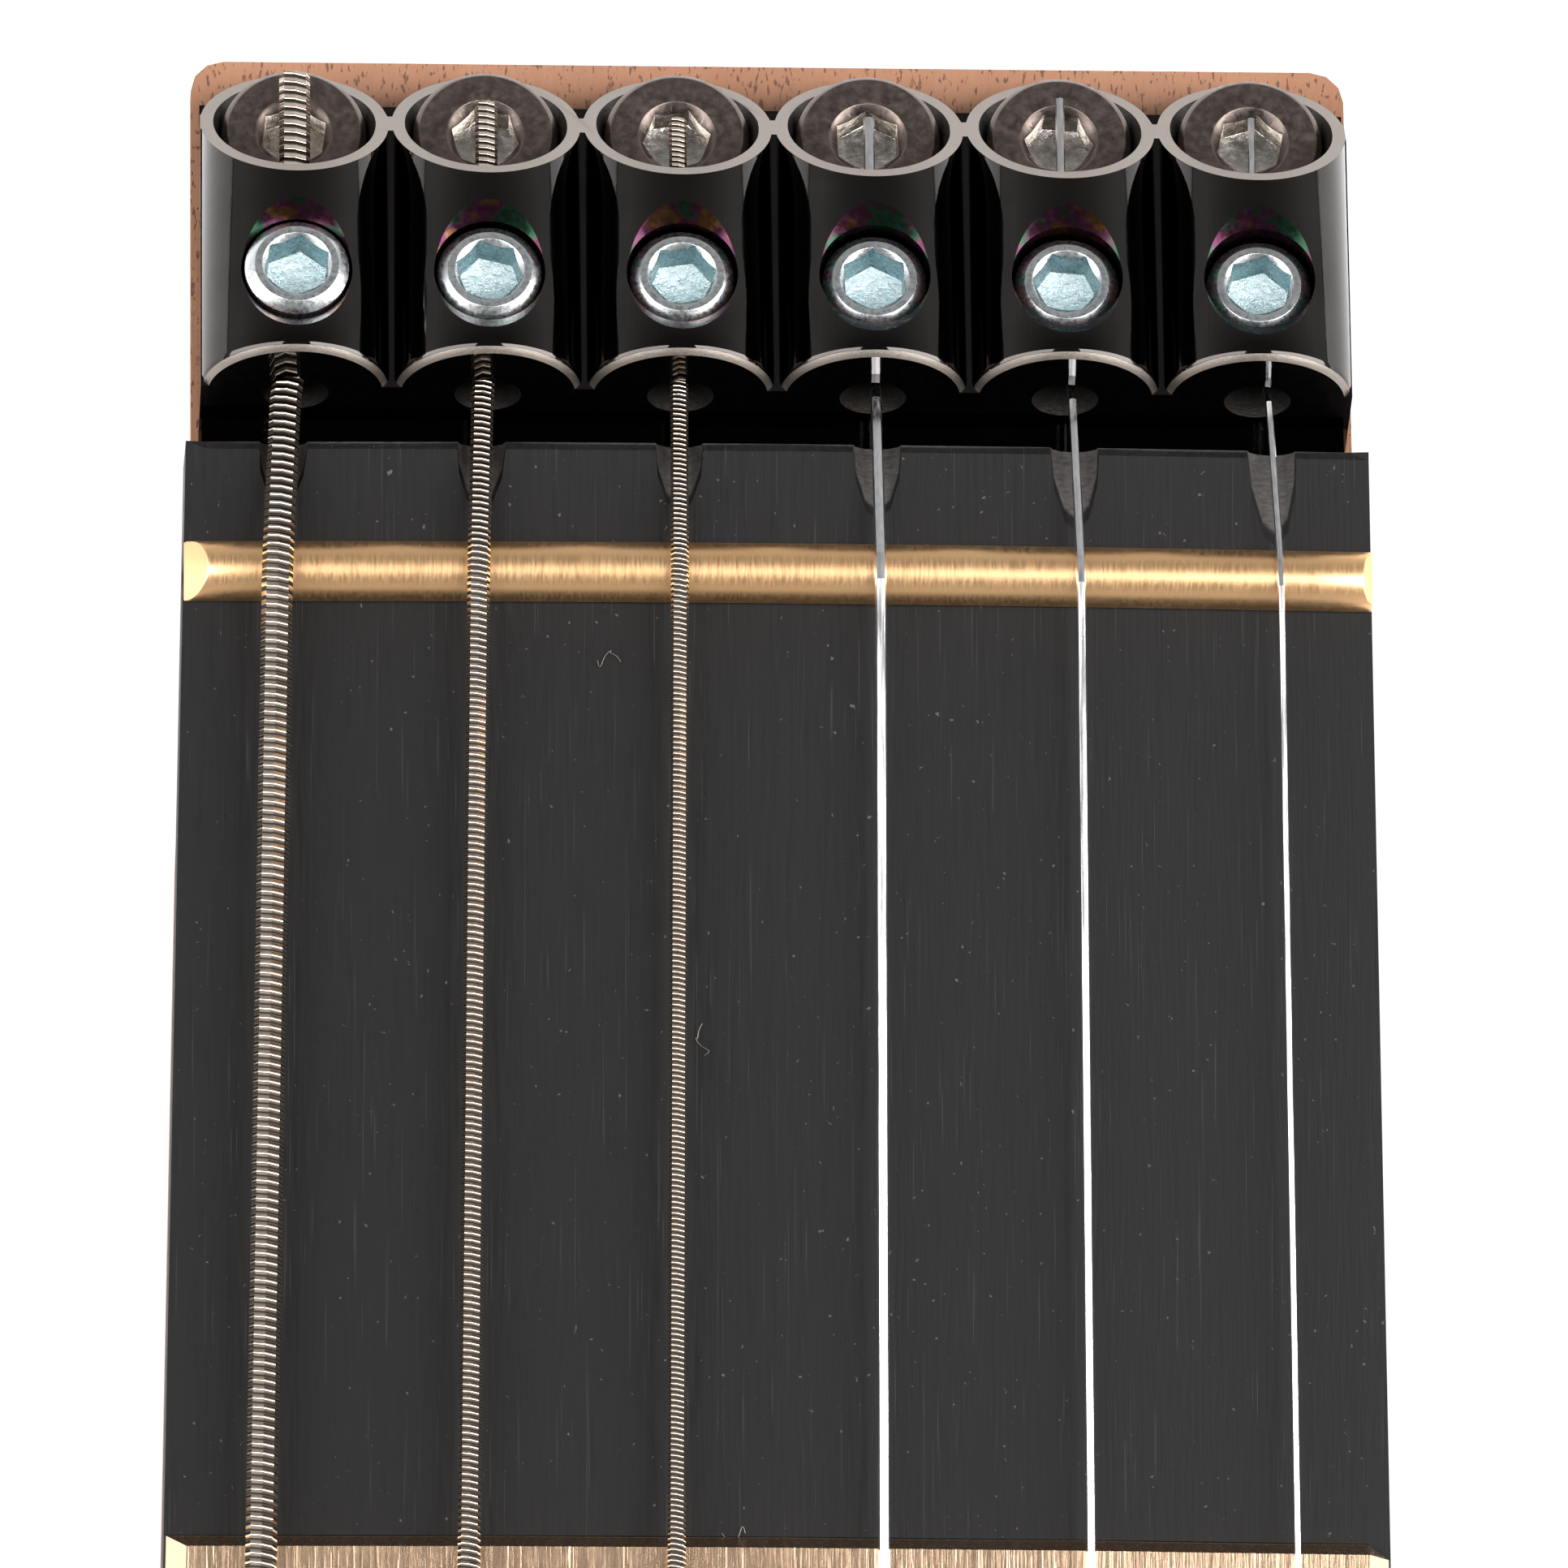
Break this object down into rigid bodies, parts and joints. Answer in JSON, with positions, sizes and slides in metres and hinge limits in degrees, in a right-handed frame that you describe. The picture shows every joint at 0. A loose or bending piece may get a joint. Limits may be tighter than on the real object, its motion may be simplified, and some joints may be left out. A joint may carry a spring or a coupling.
{
  "type": "solid-body electric guitar",
  "caption": "Headless solid-body electric guitar with a clamp headpiece, zero fret, bolt-on neck, tail-tuned bridge and paired pickups.",
  "frame": {"origin": "on the body's flat back face, on the centreline, under the line where the scale ends at the saddles", "axes": "+Y along the neck towards the headpiece, +Z from the back face to the strings, +X towards the thinnest string"},
  "size_m": [0.31, 0.7844, 0.059],
  "materials": {
    "roasted_maple": "bare roasted wood, satin",
    "ebony": "black, dry and matte",
    "copper_fret_wire": "polished copper-gold",
    "black_chrome": "black chrome, glossy",
    "zinc_plated_steel": "bright zinc plate",
    "dark_steel": "dark, satin",
    "nickel_wound_string": "wound with nickel-plated wire",
    "plain_steel_string": "plain bright wire",
    "dark_walnut_finish": "stained, satin",
    "black_plastic": "moulded black"
  },
  "bodies": {
    "guitar": {"body": "dark_walnut_finish", "neck": "roasted_maple", "truss_rod": "dark_steel", "fretboard": "ebony", "zero_fret": "copper_fret_wire", "headpiece": "black_chrome", "bridge_base": "black_chrome", "neck_pickup": "black_plastic", "bridge_pickup": "black_plastic", "volume_pot": "zinc_plated_steel", "tone_pot": "zinc_plated_steel", "switch_body": "black_plastic", "output_jack": "zinc_plated_steel", "strap_button_horn": "dark_steel", "strap_button_tail": "dark_steel", "control_cover": "black_plastic", "mount_screw_1": "dark_steel", "string_1": "nickel_wound_string", "mount_screw_2": "dark_steel", "string_2": "nickel_wound_string", "mount_screw_3": "dark_steel", "string_3": "nickel_wound_string", "mount_screw_4": "dark_steel", "string_4": "plain_steel_string", "mount_screw_5": "dark_steel", "string_5": "plain_steel_string", "mount_screw_6": "dark_steel", "string_6": "plain_steel_string", "neck_bolt_1": "dark_steel", "neck_bolt_2": "dark_steel", "neck_bolt_3": "dark_steel", "neck_bolt_4": "dark_steel"},
    "clamp_screw_1": {"clamp_screw_1": "zinc_plated_steel"},
    "clamp_screw_2": {"clamp_screw_2": "zinc_plated_steel"},
    "clamp_screw_3": {"clamp_screw_3": "zinc_plated_steel"},
    "clamp_screw_4": {"clamp_screw_4": "zinc_plated_steel"},
    "clamp_screw_5": {"clamp_screw_5": "zinc_plated_steel"},
    "clamp_screw_6": {"clamp_screw_6": "zinc_plated_steel"},
    "saddle_1": {"saddle_1": "dark_steel"},
    "saddle_2": {"saddle_2": "dark_steel"},
    "saddle_3": {"saddle_3": "dark_steel"},
    "saddle_4": {"saddle_4": "dark_steel"},
    "saddle_5": {"saddle_5": "dark_steel"},
    "saddle_6": {"saddle_6": "dark_steel"},
    "switch_lever": {"switch_lever": "zinc_plated_steel"},
    "tone_knob": {"tone_knob": "black_plastic"},
    "truss_wheel": {"truss_wheel": "dark_steel"},
    "tuner_carriage_1": {"tuner_carriage_1": "dark_steel"},
    "tuner_carriage_2": {"tuner_carriage_2": "dark_steel"},
    "tuner_carriage_3": {"tuner_carriage_3": "dark_steel"},
    "tuner_carriage_4": {"tuner_carriage_4": "dark_steel"},
    "tuner_carriage_5": {"tuner_carriage_5": "dark_steel"},
    "tuner_carriage_6": {"tuner_carriage_6": "dark_steel"},
    "tuner_knob_1": {"tuner_knob_1": "black_chrome"},
    "tuner_knob_2": {"tuner_knob_2": "black_chrome"},
    "tuner_knob_3": {"tuner_knob_3": "black_chrome"},
    "tuner_knob_4": {"tuner_knob_4": "black_chrome"},
    "tuner_knob_5": {"tuner_knob_5": "black_chrome"},
    "tuner_knob_6": {"tuner_knob_6": "black_chrome"},
    "volume_knob": {"volume_knob": "black_plastic"}
  },
  "joints": [
    {"name": "clamp_screw_1_turn", "type": "hinge", "parent": "guitar", "child": "clamp_screw_1", "pos_m": [-0.01738, 0.65818, 0.04955], "axis": [0, 0.2588, 0.9659], "range_deg": [0, 720]},
    {"name": "saddle_1_slide", "type": "slide", "parent": "guitar", "child": "saddle_1", "axis": [0, 1, 0], "range_m": [0, 0.005]},
    {"name": "tuner_knob_1_turn", "type": "hinge", "parent": "guitar", "child": "tuner_knob_1", "pos_m": [-0.026, -0.052, 0.0501], "axis": [0, 1, 0], "range_deg": [-2160, 1440]},
    {"name": "tuner_carriage_1_slide", "type": "slide", "parent": "guitar", "child": "tuner_carriage_1", "axis": [0, -1, 0], "range_m": [-0.0042, 0.0028]},
    {"name": "clamp_screw_2_turn", "type": "hinge", "parent": "guitar", "child": "clamp_screw_2", "pos_m": [-0.01043, 0.65818, 0.04955], "axis": [0, 0.2588, 0.9659], "range_deg": [0, 720]},
    {"name": "saddle_2_slide", "type": "slide", "parent": "guitar", "child": "saddle_2", "axis": [0, 1, 0], "range_m": [0, 0.005]},
    {"name": "tuner_knob_2_turn", "type": "hinge", "parent": "guitar", "child": "tuner_knob_2", "pos_m": [-0.0156, -0.052, 0.0501], "axis": [0, 1, 0], "range_deg": [-2160, 1440]},
    {"name": "tuner_carriage_2_slide", "type": "slide", "parent": "guitar", "child": "tuner_carriage_2", "axis": [0, -1, 0], "range_m": [-0.0042, 0.0028]},
    {"name": "clamp_screw_3_turn", "type": "hinge", "parent": "guitar", "child": "clamp_screw_3", "pos_m": [-0.00347, 0.65818, 0.04955], "axis": [0, 0.2588, 0.9659], "range_deg": [0, 720]},
    {"name": "saddle_3_slide", "type": "slide", "parent": "guitar", "child": "saddle_3", "axis": [0, 1, 0], "range_m": [0, 0.005]},
    {"name": "tuner_knob_3_turn", "type": "hinge", "parent": "guitar", "child": "tuner_knob_3", "pos_m": [-0.0052, -0.052, 0.0501], "axis": [0, 1, 0], "range_deg": [-2160, 1440]},
    {"name": "tuner_carriage_3_slide", "type": "slide", "parent": "guitar", "child": "tuner_carriage_3", "axis": [0, -1, 0], "range_m": [-0.0042, 0.0028]},
    {"name": "clamp_screw_4_turn", "type": "hinge", "parent": "guitar", "child": "clamp_screw_4", "pos_m": [0.00347, 0.65818, 0.04955], "axis": [0, 0.2588, 0.9659], "range_deg": [0, 720]},
    {"name": "saddle_4_slide", "type": "slide", "parent": "guitar", "child": "saddle_4", "axis": [0, 1, 0], "range_m": [0, 0.005]},
    {"name": "tuner_knob_4_turn", "type": "hinge", "parent": "guitar", "child": "tuner_knob_4", "pos_m": [0.0052, -0.052, 0.0501], "axis": [0, 1, 0], "range_deg": [-2160, 1440]},
    {"name": "tuner_carriage_4_slide", "type": "slide", "parent": "guitar", "child": "tuner_carriage_4", "axis": [0, -1, 0], "range_m": [-0.0042, 0.0028]},
    {"name": "clamp_screw_5_turn", "type": "hinge", "parent": "guitar", "child": "clamp_screw_5", "pos_m": [0.01043, 0.65818, 0.04955], "axis": [0, 0.2588, 0.9659], "range_deg": [0, 720]},
    {"name": "saddle_5_slide", "type": "slide", "parent": "guitar", "child": "saddle_5", "axis": [0, 1, 0], "range_m": [0, 0.005]},
    {"name": "tuner_knob_5_turn", "type": "hinge", "parent": "guitar", "child": "tuner_knob_5", "pos_m": [0.0156, -0.052, 0.0501], "axis": [0, 1, 0], "range_deg": [-2160, 1440]},
    {"name": "tuner_carriage_5_slide", "type": "slide", "parent": "guitar", "child": "tuner_carriage_5", "axis": [0, -1, 0], "range_m": [-0.0042, 0.0028]},
    {"name": "clamp_screw_6_turn", "type": "hinge", "parent": "guitar", "child": "clamp_screw_6", "pos_m": [0.01738, 0.65818, 0.04955], "axis": [0, 0.2588, 0.9659], "range_deg": [0, 720]},
    {"name": "saddle_6_slide", "type": "slide", "parent": "guitar", "child": "saddle_6", "axis": [0, 1, 0], "range_m": [0, 0.005]},
    {"name": "tuner_knob_6_turn", "type": "hinge", "parent": "guitar", "child": "tuner_knob_6", "pos_m": [0.026, -0.052, 0.0501], "axis": [0, 1, 0], "range_deg": [-2160, 1440]},
    {"name": "tuner_carriage_6_slide", "type": "slide", "parent": "guitar", "child": "tuner_carriage_6", "axis": [0, -1, 0], "range_m": [-0.0042, 0.0028]},
    {"name": "volume_turn", "type": "hinge", "parent": "guitar", "child": "volume_knob", "pos_m": [0.094, 0.002, 0.05], "axis": [0, 0, 1], "range_deg": [0, 280]},
    {"name": "tone_turn", "type": "hinge", "parent": "guitar", "child": "tone_knob", "pos_m": [0.096, -0.036, 0.05], "axis": [0, 0, 1], "range_deg": [0, 280]},
    {"name": "switch_tilt", "type": "hinge", "parent": "guitar", "child": "switch_lever", "pos_m": [0.09, 0.034, 0.042], "axis": [1, 0, 0], "range_deg": [-12, 12]},
    {"name": "truss_wheel_turn", "type": "hinge", "parent": "guitar", "child": "truss_wheel", "pos_m": [0, 0.1535, 0.04155], "axis": [0, 1, 0], "range_deg": [-360, 360]}
  ],
  "couplings": [
    {"joint": "tuner_carriage_1_slide", "follows": "tuner_knob_1_turn", "m_per_rad": 0.0001114},
    {"joint": "tuner_carriage_2_slide", "follows": "tuner_knob_2_turn", "m_per_rad": 0.0001114},
    {"joint": "tuner_carriage_3_slide", "follows": "tuner_knob_3_turn", "m_per_rad": 0.0001114},
    {"joint": "tuner_carriage_4_slide", "follows": "tuner_knob_4_turn", "m_per_rad": 0.0001114},
    {"joint": "tuner_carriage_5_slide", "follows": "tuner_knob_5_turn", "m_per_rad": 0.0001114},
    {"joint": "tuner_carriage_6_slide", "follows": "tuner_knob_6_turn", "m_per_rad": 0.0001114}
  ]
}
